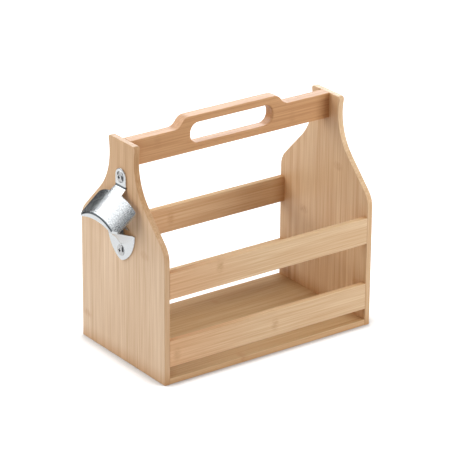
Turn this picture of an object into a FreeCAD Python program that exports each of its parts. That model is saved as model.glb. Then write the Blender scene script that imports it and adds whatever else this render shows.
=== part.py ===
"""Bottle caddy of bamboo boards with a metal bottle opener on its left end.

Millimetres. The origin is the middle of the base's underside. X runs along the caddy, Y from
its front to its rear and Z up. The opener is on the left end, which faces -X.
"""
import FreeCAD, Part
import math
import os

import Sketcher

Vector = FreeCAD.Vector
Rotation = FreeCAD.Rotation
Placement = FreeCAD.Placement

X_AXIS = Vector(1, 0, 0)
Y_AXIS = Vector(0, 1, 0)
Z_AXIS = Vector(0, 0, 1)

# Places closer together than this count as the same place
NEAR = 0.01

doc = FreeCAD.newDocument("bottle_caddy")

# Driving dimensions: name, value in millimetres (slopes in degrees), what it measures
SIZES = (
    ("caddy_length", 240, "length over both end panels"),
    ("caddy_width", 138, "width of the end panels and the base"),
    ("panel_thickness", 6, "thickness of an end panel"),
    ("panel_height", 220, "height of an end panel"),
    ("shoulder_drop", 98, "from a panel's top down to where its straight sides end"),
    ("shoulder_radius", 22, "convex curve at a panel's shoulder"),
    ("waist_width", 40.4, "narrowest width of a panel, below its top"),
    ("waist_drop", 16, "from a panel's top down to that narrowest place"),
    ("slope_length", 37.35, "straight slope between the shoulder's curve and the waist's"),
    ("panel_corner_radius", 3, "rounding of a panel's two top corners"),
    ("board_edge_radius", 0.7, "easing of the boards' long edges"),
    ("base_thickness", 6, "thickness of the base board"),
    ("slat_thickness", 6, "thickness of a slat"),
    ("slat_height", 26.5, "height of a slat"),
    ("lower_slat_bottom", 17.3, "height of the lower slats' underside"),
    ("upper_slat_drop", 10.2, "from the end of the straight sides down to the upper slats"),
    ("handle_thickness", 12, "thickness of the handle board"),
    ("handle_end_height", 25, "height of the handle at its ends"),
    ("hump_rise", 10, "rise of the handle's hump above the panels"),
    ("hump_flat_length", 96, "straight top of the hump"),
    ("hump_run", 18, "length of the curve from the hump down to the handle's end"),
    ("slot_length", 94, "length of the hand slot"),
    ("slot_height", 20, "height of the hand slot"),
    ("slot_corner_radius", 9, "rounding of the hand slot's corners"),
    ("slot_sill", 7.4, "wood left under the hand slot"),
    ("slot_edge_radius", 1.6, "rounding of the hand slot's edges"),
    ("dowel_diameter", 3, "dowels of the base and the slats"),
    ("dowel_length", 14, "length of every dowel"),
    ("dowel_panel_depth", 4, "length of a dowel inside the end panel"),
    ("dowel_chamfer", 0.4, "bevel at a dowel's ends"),
    ("dowel_play", 0.05, "glue gap around a dowel"),
    ("dowel_end_gap", 0.3, "glue gap at each end of a dowel"),
    ("base_dowel_spacing", 50, "between the base's dowels"),
    ("slat_dowel_spacing", 14, "between a slat's dowels"),
    ("handle_dowel_diameter", 5, "dowels of the handle"),
    ("handle_dowel_spacing", 12, "between the handle's dowels"),
    ("opener_wall", 1.5, "thickness of the opener's metal"),
    ("opener_edge_radius", 0.5, "rounding of the back plate's outline and of the crease"),
    ("opener_drop", 26.7, "from the panel's top down to the opener's top"),
    ("tab_width", 16.6, "width of the upper tab"),
    ("tab_height", 17.6, "height of the upper tab above the crease where the hood leaves it"),
    ("hood_slope", 39, "fall of the hood below the horizontal"),
    ("hood_radius", 47, "outer radius of the hood's arch, measured in an upright plane"),
    ("hood_width", 62.8, "width across the hood's shoulders"),
    ("shoulder_reach", 5.3, "how far the shoulders' ends stand off the panel"),
    ("neck_width", 18.6, "width of the neck where it meets the shoulders"),
    ("neck_reach", 7.1, "how far off the panel the neck meets the shoulders"),
    ("rim_reach", 28.6, "how far the rim stands off the panel"),
    ("rim_width", 50, "width of the rim"),
    ("corner_width", 59.4, "width across the hood's cut corners"),
    ("corner_reach", 24.9, "how far off the panel the cut corners begin"),
    ("rim_depth", 5.3, "height of the rim's turned-down edge at its middle"),
    ("rim_edge_radius", 76, "curve of that edge's underside"),
    ("rim_roll_radius", 3.2, "rounding where the rim turns down"),
    ("hood_corner_radius", 1, "rounding of the hood's corners"),
    ("web_width", 8, "width of the strip behind the hood"),
    ("web_taper", 5.6, "height over which that strip widens to the tab"),
    ("stem_width", 10, "width of the strip below its catch"),
    ("catch_width", 25.4, "width of the strip where it catches the cap"),
    ("catch_gap", 3.3, "from the lower plate's top up to that place"),
    ("catch_flare", 4.4, "height of the strip's widening"),
    ("plate_width", 44.4, "width of the lower plate at its top"),
    ("mouth_height", 43, "from the crease down to the lower plate's top"),
    ("plate_height", 30, "height of the lower plate"),
    ("plate_tip_radius", 9, "rounding of the lower plate's tip"),
    ("spout_width", 43, "width of the lip at its top"),
    ("spout_reach", 13.4, "how far the lip stands out at its top"),
    ("spout_belly_width", 34, "width of the lip half way down"),
    ("spout_belly_reach", 5.6, "how far the lip stands out there"),
    ("spout_height", 15.5, "height of the lip"),
    ("spout_root_width", 16, "width of the lip where it leaves the plate"),
    ("spout_nose_radius", 4, "rounding of the lip's nose"),
    ("hollow_width", 36, "width of the hollow behind the lip at its top"),
    ("hollow_depth", 7, "depth of that hollow"),
    ("hollow_floor_width", 18, "width of the hollow's floor"),
    ("hollow_floor_reach", 3.9, "how far out the hollow's floor reaches"),
    ("lower_screw_inset", 9.9, "from the lower plate's tip up to the lower screw"),
    ("screw_hole_diameter", 4.3, "hole for a screw in the opener"),
    ("screw_shank_diameter", 3.5, "a screw's shank"),
    ("screw_depth", 5, "length of a screw inside the panel"),
    ("screw_point", 2, "length of a screw's point"),
    ("screw_play", 0.05, "gap around a screw in the panel"),
    ("screw_end_gap", 0.3, "gap beyond a screw's point"),
    ("screw_head_diameter", 11, "a screw's head"),
    ("screw_head_height", 1.7, "height of a screw's head"),
    ("screw_head_rim", 0.4, "height of the head's straight rim"),
    ("recess_length", 3.8, "length of each arm of the cross recess"),
    ("recess_width", 1.2, "width of each arm"),
    ("recess_depth", 1.1, "depth of the cross recess"),
)

sheet = doc.addObject("Spreadsheet::Sheet", "Sizes")
for row, (alias, number, meaning) in enumerate(SIZES, start=1):
    sheet.set(f"A{row}", meaning)
    sheet.set(f"B{row}", str(number))
    sheet.setAlias(f"B{row}", alias)
doc.recompute()

# Lengths that several pieces share
HALF_LENGTH = "Sizes.caddy_length / 2"
INNER_LENGTH = "(Sizes.caddy_length - 2 * Sizes.panel_thickness)"
INNER_END = "(Sizes.caddy_length / 2 - Sizes.panel_thickness)"
SLAT_Y = "(Sizes.caddy_width / 2 - Sizes.slat_thickness / 2)"
LOWER_SLAT_Z = "(Sizes.lower_slat_bottom + Sizes.slat_height / 2)"
SHOULDER_Z = "(Sizes.panel_height - Sizes.shoulder_drop)"
UPPER_SLAT_Z = f"({SHOULDER_Z} - Sizes.upper_slat_drop - Sizes.slat_height / 2)"
BASE_Z = "Sizes.base_thickness / 2"
HANDLE_BOTTOM = "(Sizes.panel_height - Sizes.handle_end_height)"
HANDLE_END_Z = "(Sizes.panel_height - Sizes.handle_end_height / 2)"
OPENER_TOP = "(Sizes.panel_height - Sizes.opener_drop)"
CREASE_Z = f"({OPENER_TOP} - Sizes.tab_height)"
PLATE_TOP = f"({CREASE_Z} - Sizes.mouth_height)"
PLATE_BOTTOM = f"({PLATE_TOP} - Sizes.plate_height)"
SPOUT_ROOT = f"({PLATE_TOP} - Sizes.spout_height)"
UPPER_SCREW_Z = f"({OPENER_TOP} - Sizes.tab_width / 2)"
LOWER_SCREW_Z = f"({PLATE_BOTTOM} + Sizes.lower_screw_inset)"
DOWEL_BOARD_DEPTH = "Sizes.dowel_length - Sizes.dowel_panel_depth + Sizes.dowel_end_gap"


def value(expression):
    """The number that an expression of the sheet gives now."""
    return float(sheet.evalExpression(expression))


def bind(sketch, name, expression, kind, *places):
    """Adds a named constraint whose size is an expression of the sheet."""
    index = sketch.addConstraint(Sketcher.Constraint(kind, *places, value(expression)))
    sketch.renameConstraint(index, name)
    sketch.setExpression(f"Constraints.{name}", expression)


def pin(sketch, name, geometry, point, across, up):
    """Holds one point of a sketch at two expressions from the sketch's origin."""
    bind(sketch, f"{name}_across", across, "DistanceX", -1, 1, geometry, point)
    bind(sketch, f"{name}_up", up, "DistanceY", -1, 1, geometry, point)


def join(sketch, *steps):
    """Ties the end of each piece of an outline to the start of the next one."""
    for kind, geometry, point, next_geometry, next_point in steps:
        sketch.addConstraint(Sketcher.Constraint(kind, geometry, point, next_geometry, next_point))


def at(across, up):
    """A place in a sketch."""
    return Vector(across, up, 0)


def line(sketch, start, end):
    """A straight line between two places."""
    return sketch.addGeometry(Part.LineSegment(start, end))


def arc(sketch, center, radius, start, end):
    """An arc that runs counter-clockwise from one point to another."""
    circle = Part.Circle(center, Z_AXIS, radius)
    first = math.atan2(start.y - center.y, start.x - center.x)
    last = math.atan2(end.y - center.y, end.x - center.x)
    return sketch.addGeometry(Part.ArcOfCircle(circle, first, last))


def new_body(label, across="0", along="0", up="0", rotation=None):
    """A body whose placement is bound to the sheet."""
    body = doc.addObject("PartDesign::Body", label)
    body.Label = label
    body.Placement = Placement(Vector(), rotation or Rotation())
    for axis, expression in (("x", across), ("y", along), ("z", up)):
        body.setExpression(f"Placement.Base.{axis}", expression)
    return body


def plane(body, role):
    """One of the three planes of a body's origin."""
    return next(item for item in body.Origin.OriginFeatures if item.Role == role)


def new_sketch(body, name, role, lift="0"):
    """A sketch on one of the body's own planes, lifted off it by an expression."""
    sketch = body.newObject("Sketcher::SketchObject", f"{body.Name}_{name}")
    sketch.AttachmentSupport = (plane(body, role), [""])
    sketch.MapMode = "FlatFace"
    sketch.setExpression("AttachmentOffset.Base.z", lift)
    return sketch


def outline(sketch, corners, name="corner"):
    """A closed outline of straight lines, each corner held by two expressions.

    A corner is (across, up) or (across, up, radius); one with a radius is rounded.
    """
    points = [at(value(corner[0]), value(corner[1])) for corner in corners]
    count = len(corners)
    starts, ends, arcs = [], [], []
    for index, corner in enumerate(corners):
        point = points[index]
        if len(corner) == 2:
            starts.append(point)
            ends.append(point)
            arcs.append(None)
            continue
        radius = value(corner[2])
        back = (points[index - 1] - point).normalize()
        ahead = (points[(index + 1) % count] - point).normalize()
        half_angle = back.getAngle(ahead) / 2
        starts.append(point + back * (radius / math.tan(half_angle)))
        ends.append(point + ahead * (radius / math.tan(half_angle)))
        center = point + (back + ahead).normalize() * (radius / math.sin(half_angle))
        left_turn = ahead.cross(back).z > 0
        first, last = (starts[-1], ends[-1]) if left_turn else (ends[-1], starts[-1])
        arcs.append((arc(sketch, center, radius, first, last), left_turn))
    lines = [line(sketch, ends[index], starts[(index + 1) % count]) for index in range(count)]
    for index, corner in enumerate(corners):
        before, after = lines[index - 1], lines[index]
        if arcs[index] is None:
            join(sketch, ("Coincident", before, 2, after, 1))
            pin(sketch, f"{name}{index}", after, 1, corner[0], corner[1])
            continue
        curve, left_turn = arcs[index]
        mark = sketch.addGeometry(Part.Point(points[index]), True)
        join(sketch, ("Tangent", before, 2, curve, 1 if left_turn else 2),
             ("Tangent", curve, 2 if left_turn else 1, after, 1))
        for edge in (before, after):
            sketch.addConstraint(Sketcher.Constraint("PointOnObject", mark, 1, edge))
        pin(sketch, f"{name}{index}", mark, 1, corner[0], corner[1])
        bind(sketch, f"{name}{index}_radius", corner[2], "Radius", curve)


def rectangle(sketch, width, height):
    """A rectangle around the sketch's origin."""
    side = f"({width}) / 2"
    top = f"({height}) / 2"
    outline(sketch, ((f"-{side}", f"-{top}"), (side, f"-{top}"), (side, top), (f"-{side}", top)))


def circles(sketch, centers, radius):
    """Equal circles, each with its centre held by two expressions."""
    for index, (across, up) in enumerate(centers):
        circle = Part.Circle(at(value(across), value(up)), Z_AXIS, value(radius))
        geometry = sketch.addGeometry(circle)
        pin(sketch, f"center{index}", geometry, 3, across, up)
        bind(sketch, f"radius{index}", radius, "Radius", geometry)


def pad(body, sketch, length, symmetric=False):
    """Raises a sketch's outline along its normal, or to both sides of the sketch."""
    feature = body.newObject("PartDesign::Pad", f"{sketch.Name}_pad")
    feature.Profile = sketch
    feature.SideType = "Symmetric" if symmetric else "One side"
    feature.setExpression("Length", length)
    doc.recompute()
    return feature


def pocket(body, sketch, depth, along_normal=False):
    """Cuts a sketch's outline, against the sketch's normal unless told otherwise."""
    feature = body.newObject("PartDesign::Pocket", f"{sketch.Name}_pocket")
    feature.Profile = sketch
    feature.Reversed = along_normal
    feature.setExpression("Length", depth)
    doc.recompute()
    return feature


def cut_through(body, sketch):
    """Cuts a sketch's outline right through the body, to both sides of the sketch."""
    feature = body.newObject("PartDesign::Pocket", f"{sketch.Name}_cut")
    feature.Profile = sketch
    feature.Type = "ThroughAll"
    feature.SideType = "Symmetric"
    doc.recompute()
    return feature


def mirrored(body, original, role):
    """Repeats a feature on the other side of one of the body's planes."""
    feature = body.newObject("PartDesign::Mirrored", f"{original.Name}_mirrored")
    feature.Originals = [original]
    feature.MirrorPlane = (plane(body, role), [""])
    body.Tip = feature
    doc.recompute()
    return feature


def dress(body, kind, size_name, size, wanted):
    """Fillets or chamfers the edges of the body's last feature that a test picks."""
    base = body.Tip
    names = [f"Edge{index}" for index, edge in enumerate(base.Shape.Edges, start=1) if wanted(edge)]
    feature = body.newObject(f"PartDesign::{kind}", f"{base.Name}_{kind.lower()}")
    feature.Base = (base, names)
    feature.setExpression(size_name, size)
    doc.recompute()
    return feature


def along_axis(edge, axis):
    """Whether an edge is straight and runs along one axis."""
    if not isinstance(edge.Curve, Part.Line):
        return False
    return edge.Curve.Direction.cross(axis).Length < NEAR


def on_level(edge, axis, levels):
    """Whether a whole edge lies at one of some distances along an axis."""
    box = edge.BoundBox
    low = Vector(box.XMin, box.YMin, box.ZMin).dot(axis)
    high = Vector(box.XMax, box.YMax, box.ZMax).dot(axis)
    return any(abs(low - level) < NEAR and abs(high - level) < NEAR for level in levels)


# Dowels, and the rows in which they sit
def dowel_row(count, spacing, upright):
    """Centres of a row of dowels around a board's middle, across or up its end."""
    offsets = [f"{index - (count - 1) / 2} * Sizes.{spacing}" for index in range(count)]
    return [("0", offset) if upright else (offset, "0") for offset in offsets]


# For each board: its dowels around the board's middle, their diameter, and that middle
ROWS = {
    "base": (dowel_row(3, "base_dowel_spacing", False), "Sizes.dowel_diameter", ("0", BASE_Z)),
    "handle": (dowel_row(2, "handle_dowel_spacing", True), "Sizes.handle_dowel_diameter",
               ("0", HANDLE_END_Z)),
}
for side, sign in (("front", "-"), ("rear", "")):
    for level, middle in (("lower", LOWER_SLAT_Z), ("upper", UPPER_SLAT_Z)):
        pair = dowel_row(2, "slat_dowel_spacing", True)
        ROWS[f"{side}_{level}_slat"] = (pair, "Sizes.dowel_diameter", (f"{sign}{SLAT_Y}", middle))


def dowels(board, side):
    """The glued dowels at one end of a board: separate solids in one body."""
    centers, diameter, (middle_y, middle_z) = ROWS[board]
    start = f"{INNER_END} + Sizes.dowel_panel_depth - Sizes.dowel_length"
    if side == "left":
        start = f"-{INNER_END} - Sizes.dowel_panel_depth"
    body = new_body(f"{board}_{side}_dowels", start, middle_y, middle_z)
    sketch = new_sketch(body, "ends", "YZ_Plane")
    circles(sketch, centers, f"{diameter} / 2")
    pad(body, sketch, "Sizes.dowel_length")
    dress(body, "Chamfer", "Size", "Sizes.dowel_chamfer",
          lambda edge: isinstance(edge.Curve, Part.Circle))
    return body


def drill_ends(body, board, lift="0"):
    """Blind dowel holes in both ends of a board that lies along X around its middle."""
    centers, diameter, _ = ROWS[board]
    sketch = new_sketch(body, "dowel_holes", "YZ_Plane", f"{INNER_LENGTH} / 2")
    circles(sketch, [(across, f"{up} + {lift}") for across, up in centers],
            f"{diameter} / 2 + Sizes.dowel_play")
    holes = pocket(body, sketch, DOWEL_BOARD_DEPTH)
    mirrored(body, holes, "YZ_Plane")


# End panels
def panel_outline(sketch):
    """The right half of a panel's outline: straight side, shoulder, slope and waist."""
    half = value("Sizes.caddy_width / 2")
    shoulder = value(SHOULDER_Z)
    shoulder_radius = value("Sizes.shoulder_radius")

    # The waist's curve is as large as the slope's length leaves room for
    narrowing = "(Sizes.caddy_width - Sizes.waist_width)"
    waist_curve = (f"((Sizes.shoulder_radius - {narrowing} / 2) ^ 2 - Sizes.shoulder_radius ^ 2"
                   " + (Sizes.shoulder_drop - Sizes.waist_drop) ^ 2 - Sizes.slope_length ^ 2)"
                   f" / {narrowing}")
    waist_z = "Sizes.panel_height - Sizes.waist_drop"
    waist_radius = value(waist_curve)
    top = value("Sizes.panel_height")
    shoulder_center = at(half - shoulder_radius, shoulder)
    waist_center = at(value("Sizes.waist_width / 2") + waist_radius, value(waist_z))

    # The slope touches both circles from the inside, so it crosses the line between their centres
    between = waist_center - shoulder_center
    turn = math.acos((shoulder_radius + waist_radius) / between.Length)
    normal_angle = math.atan2(between.y, between.x) - turn
    normal = at(math.cos(normal_angle), math.sin(normal_angle))
    slope_start = shoulder_center + normal * shoulder_radius
    slope_end = waist_center - normal * waist_radius
    rise = top - waist_center.y
    top_corner = at(waist_center.x - math.sqrt(waist_radius ** 2 - rise ** 2), top)

    bottom = line(sketch, at(0, 0), at(half, 0))
    side = line(sketch, at(half, 0), at(half, shoulder))
    curve = arc(sketch, shoulder_center, shoulder_radius, at(half, shoulder), slope_start)
    slope = line(sketch, slope_start, slope_end)
    waist = arc(sketch, waist_center, waist_radius, top_corner, slope_end)
    upper = line(sketch, top_corner, at(0, top))
    middle = line(sketch, at(0, top), at(0, 0))
    join(sketch, ("Coincident", bottom, 2, side, 1), ("Tangent", side, 2, curve, 1),
         ("Tangent", curve, 2, slope, 1), ("Tangent", slope, 2, waist, 2),
         ("Coincident", waist, 1, upper, 1), ("Coincident", upper, 2, middle, 1),
         ("Coincident", middle, 2, bottom, 1), ("Coincident", bottom, 1, -1, 1))
    for kind, geometry in (("Horizontal", bottom), ("Vertical", side), ("Horizontal", upper),
                           ("Vertical", middle)):
        sketch.addConstraint(Sketcher.Constraint(kind, geometry))
    bind(sketch, "half_width", "Sizes.caddy_width / 2", "DistanceX", bottom, 1, bottom, 2)
    bind(sketch, "shoulder", SHOULDER_Z, "DistanceY", side, 1, side, 2)
    bind(sketch, "shoulder_curve", "Sizes.shoulder_radius", "Radius", curve)
    bind(sketch, "waist_curve", waist_curve, "Radius", waist)
    pin(sketch, "waist", waist, 3, f"Sizes.waist_width / 2 + {waist_curve}", waist_z)
    bind(sketch, "height", "Sizes.panel_height", "DistanceY", middle, 2, middle, 1)


def end_panel(side):
    """An end panel with blind holes for the dowels in its inner face."""
    left = side == "left"
    body = new_body(f"{side}_end_panel", f"-{HALF_LENGTH}" if left else INNER_END)
    sketch = new_sketch(body, "outline", "YZ_Plane")
    panel_outline(sketch)
    half = pad(body, sketch, "Sizes.panel_thickness")
    mirrored(body, half, "XZ_Plane")

    faces = (0, value("Sizes.panel_thickness"))
    top = value("Sizes.panel_height")
    dress(body, "Fillet", "Radius", "Sizes.panel_corner_radius",
          lambda edge: along_axis(edge, X_AXIS) and on_level(edge, Z_AXIS, (top,)))
    dress(body, "Fillet", "Radius", "Sizes.board_edge_radius",
          lambda edge: on_level(edge, X_AXIS, faces))

    inner_face = "Sizes.panel_thickness" if left else "0"
    for board, (centers, diameter, (middle_y, middle_z)) in ROWS.items():
        holes = [(f"{middle_y} + {across}", f"{middle_z} + {up}") for across, up in centers]
        sketch = new_sketch(body, f"{board}_holes", "YZ_Plane", inner_face)
        circles(sketch, holes, f"{diameter} / 2 + Sizes.dowel_play")
        pocket(body, sketch, "Sizes.dowel_panel_depth + Sizes.dowel_end_gap", along_normal=not left)
    return body


def drill_for_screws(body):
    """Blind holes for the opener's screws in the left panel's outer face."""
    sketch = new_sketch(body, "screw_holes", "YZ_Plane")
    circles(sketch, (("0", UPPER_SCREW_Z), ("0", LOWER_SCREW_Z)),
            "Sizes.screw_shank_diameter / 2 + Sizes.screw_play")
    pocket(body, sketch, "Sizes.screw_depth + Sizes.screw_end_gap", along_normal=True)


# Base and slats
def straight_board(label, width, height, middle_y, middle_z):
    """A straight board between the panels with eased long edges and holes in its ends."""
    body = new_body(label, "0", middle_y, middle_z)
    sketch = new_sketch(body, "section", "YZ_Plane")
    rectangle(sketch, width, height)
    pad(body, sketch, INNER_LENGTH, symmetric=True)
    dress(body, "Fillet", "Radius", "Sizes.board_edge_radius", lambda edge: along_axis(edge, X_AXIS))
    drill_ends(body, label.replace("_board", ""))
    return body


# Handle
def handle_outline(sketch):
    """The right half of the handle's outline; the hump runs down through two equal arcs."""
    end = value(f"{INNER_LENGTH} / 2")
    low = value("Sizes.handle_end_height")
    high = value("Sizes.handle_end_height + Sizes.hump_rise")
    flat = value("Sizes.hump_flat_length / 2")
    foot = value("Sizes.hump_flat_length / 2 + Sizes.hump_run")
    curve = "(Sizes.hump_run ^ 2 + Sizes.hump_rise ^ 2) / (4 * Sizes.hump_rise)"
    radius = value(curve)
    halfway = at((flat + foot) / 2, (low + high) / 2)

    bottom = line(sketch, at(0, 0), at(end, 0))
    face = line(sketch, at(end, 0), at(end, low))
    shelf = line(sketch, at(end, low), at(foot, low))
    hollow = arc(sketch, at(foot, low + radius), radius, halfway, at(foot, low))
    crown = arc(sketch, at(flat, high - radius), radius, halfway, at(flat, high))
    top = line(sketch, at(flat, high), at(0, high))
    middle = line(sketch, at(0, high), at(0, 0))
    join(sketch, ("Coincident", bottom, 2, face, 1), ("Coincident", face, 2, shelf, 1),
         ("Tangent", shelf, 2, hollow, 2), ("Tangent", hollow, 1, crown, 1),
         ("Tangent", crown, 2, top, 1), ("Coincident", top, 2, middle, 1),
         ("Coincident", middle, 2, bottom, 1), ("Coincident", bottom, 1, -1, 1))
    for kind, geometry in (("Horizontal", bottom), ("Vertical", face), ("Horizontal", shelf),
                           ("Horizontal", top), ("Vertical", middle)):
        sketch.addConstraint(Sketcher.Constraint(kind, geometry))
    bind(sketch, "half_length", f"{INNER_LENGTH} / 2", "DistanceX", bottom, 1, bottom, 2)
    bind(sketch, "end_height", "Sizes.handle_end_height", "DistanceY", face, 1, face, 2)
    bind(sketch, "hump_height", "Sizes.handle_end_height + Sizes.hump_rise", "DistanceY",
         middle, 2, middle, 1)
    bind(sketch, "half_flat", "Sizes.hump_flat_length / 2", "DistanceX", top, 2, top, 1)
    bind(sketch, "crown_curve", curve, "Radius", crown)
    bind(sketch, "hollow_curve", curve, "Radius", hollow)


def slot_outline(sketch):
    """The hand slot: a long rounded rectangle."""
    end = "Sizes.slot_length / 2"
    low = "Sizes.slot_sill"
    high = "Sizes.slot_sill + Sizes.slot_height"
    corner = "Sizes.slot_corner_radius"
    outline(sketch, ((f"-{end}", low, corner), (end, low, corner),
                     (end, high, corner), (f"-{end}", high, corner)))


def carry_handle():
    """The handle board with its hump and hand slot."""
    body = new_body("carry_handle", "0", "0", HANDLE_BOTTOM)
    sketch = new_sketch(body, "outline", "XZ_Plane")
    handle_outline(sketch)
    half = pad(body, sketch, "Sizes.handle_thickness", symmetric=True)
    mirrored(body, half, "YZ_Plane")
    side = value("Sizes.handle_thickness / 2")
    dress(body, "Fillet", "Radius", "Sizes.board_edge_radius",
          lambda edge: on_level(edge, Y_AXIS, (side, -side)) and not along_axis(edge, Z_AXIS))

    slot = new_sketch(body, "slot", "XZ_Plane")
    slot_outline(slot)
    cut_through(body, slot)
    end = value("Sizes.slot_length / 2") + NEAR
    low = value("Sizes.slot_sill") - NEAR
    high = value("Sizes.slot_sill + Sizes.slot_height") + NEAR

    def on_slot(edge):
        box = edge.BoundBox
        inside = box.XMin > -end and box.XMax < end and box.ZMin > low and box.ZMax < high
        return inside and on_level(edge, Y_AXIS, (side, -side))

    dress(body, "Fillet", "Radius", "Sizes.slot_edge_radius", on_slot)
    drill_ends(body, "handle", "Sizes.handle_end_height / 2")
    return body


# Opener
def arch(sketch, half, depth, inner_radius):
    """A band under the hood's arch, its depth measured at the crest."""
    radius = value("Sizes.hood_radius")
    across = value(half)
    center = at(0, -radius)
    inner_center = at(0, -value(depth) - value(inner_radius))
    corner = at(across, center.y + math.sqrt(radius ** 2 - across ** 2))
    inner_corner = at(across, inner_center.y + math.sqrt(value(inner_radius) ** 2 - across ** 2))
    mirror = at(-across, corner.y)
    inner_mirror = at(-across, inner_corner.y)
    outer = arc(sketch, center, radius, corner, mirror)
    left = line(sketch, mirror, inner_mirror)
    inner = arc(sketch, inner_center, value(inner_radius), inner_corner, inner_mirror)
    right = line(sketch, inner_corner, corner)
    join(sketch, ("Coincident", outer, 2, left, 1), ("Coincident", left, 2, inner, 2),
         ("Coincident", inner, 1, right, 1), ("Coincident", right, 2, outer, 1))
    sketch.addConstraint(Sketcher.Constraint("Vertical", left))
    sketch.addConstraint(Sketcher.Constraint("Vertical", right))
    pin(sketch, "center", outer, 3, "0", "-Sizes.hood_radius")
    pin(sketch, "inner_center", inner, 3, "0", f"-({depth}) - ({inner_radius})")
    bind(sketch, "outer_curve", "Sizes.hood_radius", "Radius", outer)
    bind(sketch, "inner_curve", inner_radius, "Radius", inner)
    bind(sketch, "right_side", half, "DistanceX", -1, 1, right, 1)
    bind(sketch, "left_side", half, "DistanceX", left, 1, -1, 1)


def hood(body):
    """The arched hood, drawn at its rim and run back up the slope, then cut to its outline."""
    wall = "Sizes.opener_wall"
    slope = "Sizes.hood_slope * 1deg"
    crest = f"{CREASE_Z} - (Sizes.rim_reach - {wall}) * tan({slope})"
    roof_depth = f"{wall} / cos({slope})"

    # Both are drawn a little wider than they end up, and the trim below cuts them to width
    sections = (("hood_section", f"Sizes.hood_width / 2 + {wall}", roof_depth,
                 f"Sizes.hood_radius - {roof_depth}"),
                ("rim_section", f"Sizes.rim_width / 2 + {wall} / 2", "Sizes.rim_depth",
                 "Sizes.rim_edge_radius"))
    pads = []
    for name, half, depth, inner_radius in sections:
        sketch = new_sketch(body, name, "YZ_Plane", "Sizes.rim_reach")
        sketch.setExpression("AttachmentOffset.Base.y", crest)
        arch(sketch, half, depth, inner_radius)
        pads.append(pad(body, sketch, wall))
    roof, rim = pads
    roof.UseCustomVector = True
    roof.setExpression("Direction.x", f"-cos({slope})")
    roof.setExpression("Direction.z", f"sin({slope})")
    roof.setExpression("Length", f"Sizes.rim_reach - {wall} / 2")
    rim.Reversed = True
    doc.recompute()

    reach = value("Sizes.rim_reach")
    radius = value("Sizes.hood_radius")

    def on_fold(edge):
        round_edge = isinstance(edge.Curve, Part.Circle) and abs(edge.Curve.Radius - radius) < NEAR
        return round_edge and on_level(edge, X_AXIS, (reach,))

    dress(body, "Fillet", "Radius", "Sizes.rim_roll_radius", on_fold)

    # Seen from above, everything between the hood's outline and a box around it is cut away
    trim = new_sketch(body, "hood_outline", "XY_Plane", CREASE_Z)
    wide = "Sizes.hood_width"
    beyond = "2 * Sizes.rim_reach"
    behind = "-Sizes.rim_reach"
    corner = "Sizes.hood_corner_radius"
    outline(trim, ((behind, f"-{wide}"), (beyond, f"-{wide}"), (beyond, wide), (behind, wide)), "waste")
    far_side = ((f"-{wall}", "Sizes.tab_width / 2"), (wall, "Sizes.tab_width / 2"),
                ("Sizes.neck_reach", "Sizes.neck_width / 2", corner),
                ("Sizes.shoulder_reach", "Sizes.hood_width / 2", corner),
                ("Sizes.corner_reach", "Sizes.corner_width / 2", corner),
                ("Sizes.rim_reach", "Sizes.rim_width / 2", corner))
    near_side = [(place[0], f"-{place[1]}", *place[2:]) for place in far_side]
    outline(trim, (*near_side, *reversed(far_side)), "hood")
    cut_through(body, trim)


def plate_outline(sketch):
    """The right half of the lower plate: a round tip with a swelling side above it."""
    tip_radius = value("Sizes.plate_tip_radius")
    bottom = at(0, value(PLATE_BOTTOM))
    tip_center = at(0, bottom.y + tip_radius)
    corner = at(value("Sizes.plate_width / 2"), value(PLATE_TOP))
    top = at(0, corner.y)
    rise = corner.y - tip_center.y
    side_radius = (corner.x ** 2 + rise ** 2 - tip_radius ** 2) / (2 * (corner.x - tip_radius))
    side_center = at(corner.x - side_radius, corner.y)
    touch = side_center + (tip_center - side_center).normalize() * side_radius

    tip = arc(sketch, tip_center, tip_radius, bottom, touch)
    side = arc(sketch, side_center, side_radius, touch, corner)
    upper = line(sketch, corner, top)
    middle = line(sketch, top, bottom)
    join(sketch, ("Tangent", tip, 2, side, 1), ("Coincident", side, 2, upper, 1),
         ("Coincident", upper, 2, middle, 1), ("Coincident", middle, 2, tip, 1))
    pin(sketch, "corner", upper, 1, "Sizes.plate_width / 2", PLATE_TOP)
    pin(sketch, "top", upper, 2, "0", PLATE_TOP)
    pin(sketch, "tip", tip, 3, "0", f"{PLATE_BOTTOM} + Sizes.plate_tip_radius")
    bind(sketch, "tip_curve", "Sizes.plate_tip_radius", "Radius", tip)
    bind(sketch, "side_height", PLATE_TOP, "DistanceY", -1, 1, side, 3)
    sketch.addConstraint(Sketcher.Constraint("PointOnObject", middle, 2, -2))


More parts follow.
